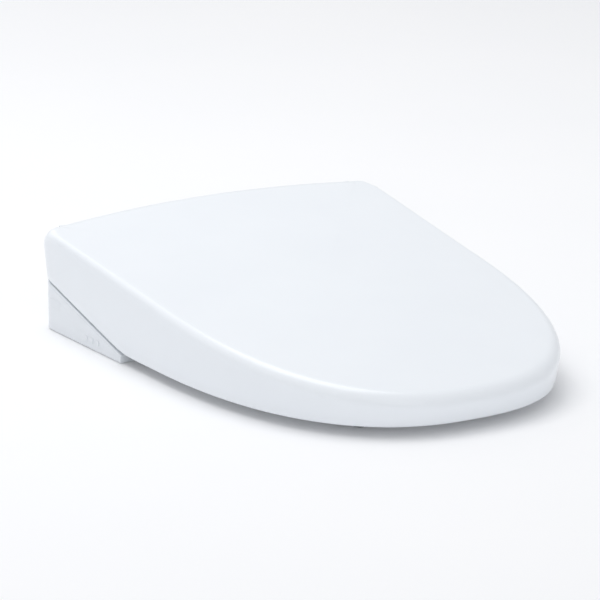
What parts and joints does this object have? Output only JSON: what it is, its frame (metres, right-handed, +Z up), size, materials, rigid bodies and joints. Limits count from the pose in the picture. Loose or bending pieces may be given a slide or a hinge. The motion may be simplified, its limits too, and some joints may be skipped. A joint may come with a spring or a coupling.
{
  "type": "electric bidet seat",
  "caption": "Electric bidet seat for an elongated bowl: hinged lid and heated ring on a rear washing unit with an extending nozzle, dryer and deodorizer.",
  "frame": {"origin": "midway between the two mounting-bolt holes, on the plane of the bowl's rim", "axes": "+X across the seat (the left of someone seated on it), -Y towards the front tip, +Z up"},
  "size_m": [0.382, 0.53, 0.1113],
  "materials": {
    "white_gloss": "gloss, injection moulded",
    "white_case": "fine gloss, injection moulded",
    "cream_plastic": "moulded, satin",
    "dark_plastic": "moulded, satin",
    "grey_rubber": "soft, matt",
    "steel": "zinc plated or stainless",
    "board": "printed circuit board",
    "copper_film": "etched heating film",
    "lens": "frosted lens",
    "led": "diffused",
    "ceramic_grid": "sintered"
  },
  "bodies": {
    "unit": {"base_plate": "steel", "bolt_adapters": "dark_plastic", "lower_case": "white_case", "upper_cover": "white_case", "case_screws": "steel", "case_feet": "grey_rubber", "lid_drive_unit": "cream_plastic", "seat_drive_unit": "cream_plastic", "nozzle_housing": "cream_plastic", "nozzle_bezel": "white_case", "wand_motor": "steel", "wand_hose": "grey_rubber", "heater_tank": "steel", "vacuum_breaker": "cream_plastic", "inlet_valve": "cream_plastic", "solenoid_coil": "dark_plastic", "water_inlet": "steel", "flow_sensor": "dark_plastic", "inlet_hose": "cream_plastic", "switching_valve": "cream_plastic", "valve_motor": "steel", "dryer_fan_housing": "dark_plastic", "dryer_motor": "steel", "dryer_duct": "dark_plastic", "dryer_heater": "ceramic_grid", "deodorizer_housing": "dark_plastic", "control_board": "board", "power_board": "board", "cable_gland": "grey_rubber", "receiver_window": "white_case", "status_leds": "led", "night_light": "lens", "button_panel": "white_case", "switch_board": "board"},
    "wand": {"wand_tube": "steel", "nozzle_tip": "white_case", "wand_rack": "cream_plastic"},
    "pinion": {"wand_pinion": "cream_plastic"},
    "dryer_rotor": {"dryer_impeller": "cream_plastic"},
    "flap": {"dryer_flap": "white_case"},
    "deodorizer_rotor": {"deodorizer_impeller": "cream_plastic"},
    "filter": {"deodorizer_filter": "white_case"},
    "power_key": {"button_power": "white_case"},
    "rear_key": {"button_rear": "white_case"},
    "front_key": {"button_front": "white_case"},
    "drain": {"drain_knob": "white_case"},
    "release": {"release_button": "white_case"},
    "seat": {"seat_top_shell": "white_gloss", "seat_base_shell": "white_case", "seat_heater_mat": "copper_film", "seat_feet": "grey_rubber", "seat_hinge_pins": "steel"},
    "lid": {"lid_shell": "white_gloss", "lid_liner": "white_case", "lid_bumpers": "grey_rubber", "lid_hinge_pins": "steel"}
  },
  "joints": [
    {"name": "seat_hinge", "type": "hinge", "parent": "unit", "child": "seat", "pos_m": [0, 0.036, 0.088], "axis": [-1, 0, 0], "range_deg": [0, 95]},
    {"name": "lid_hinge", "type": "hinge", "parent": "seat", "child": "lid", "pos_m": [0, 0.036, 0.088], "axis": [-1, 0, 0], "range_deg": [0, 100]},
    {"name": "wand_slide", "type": "slide", "parent": "unit", "child": "wand", "axis": [0, -0.8829, -0.4695], "range_m": [0, 0.085]},
    {"name": "pinion_spin", "type": "hinge", "parent": "unit", "child": "pinion", "pos_m": [0.01645, -0.09169, 0.0248], "axis": [0, -0.4695, 0.8829], "range_deg": [0, 700]},
    {"name": "flap_hinge", "type": "hinge", "parent": "unit", "child": "flap", "pos_m": [0.056, -0.1, 0.0255], "axis": [-1, 0, 0], "range_deg": [0, 60], "stiffness_Nm_per_rad": 0.002, "springref_deg": -5.73},
    {"name": "dryer_spin", "type": "hinge", "parent": "unit", "child": "dryer_rotor", "pos_m": [0.05, -0.062, 0.056], "axis": [1, 0, 0], "continuous": true},
    {"name": "deodorizer_spin", "type": "hinge", "parent": "unit", "child": "deodorizer_rotor", "pos_m": [0.128, -0.042, 0.01], "axis": [0, 0, 1], "continuous": true},
    {"name": "filter_slide", "type": "slide", "parent": "unit", "child": "filter", "axis": [1, 0, 0], "range_m": [0, 0.025]},
    {"name": "drain_turn", "type": "hinge", "parent": "unit", "child": "drain", "pos_m": [0.18, 0.008, 0.018], "axis": [1, 0, 0], "range_deg": [0, 90]},
    {"name": "power_press", "type": "slide", "parent": "unit", "child": "power_key", "axis": [1, 0, 0], "range_m": [0, 0.0012], "stiffness_N_per_m": 400, "springref_m": -0.0005},
    {"name": "rear_press", "type": "slide", "parent": "unit", "child": "rear_key", "axis": [1, 0, 0], "range_m": [0, 0.0012], "stiffness_N_per_m": 400, "springref_m": -0.0005},
    {"name": "front_press", "type": "slide", "parent": "unit", "child": "front_key", "axis": [1, 0, 0], "range_m": [0, 0.0012], "stiffness_N_per_m": 400, "springref_m": -0.0005},
    {"name": "release_press", "type": "slide", "parent": "unit", "child": "release", "axis": [-1, 0, 0], "range_m": [0, 0.003], "stiffness_N_per_m": 300, "springref_m": -0.0005}
  ],
  "couplings": [
    {"joint": "pinion_spin", "follows": "wand_slide", "rad_per_m": 142.86}
  ]
}
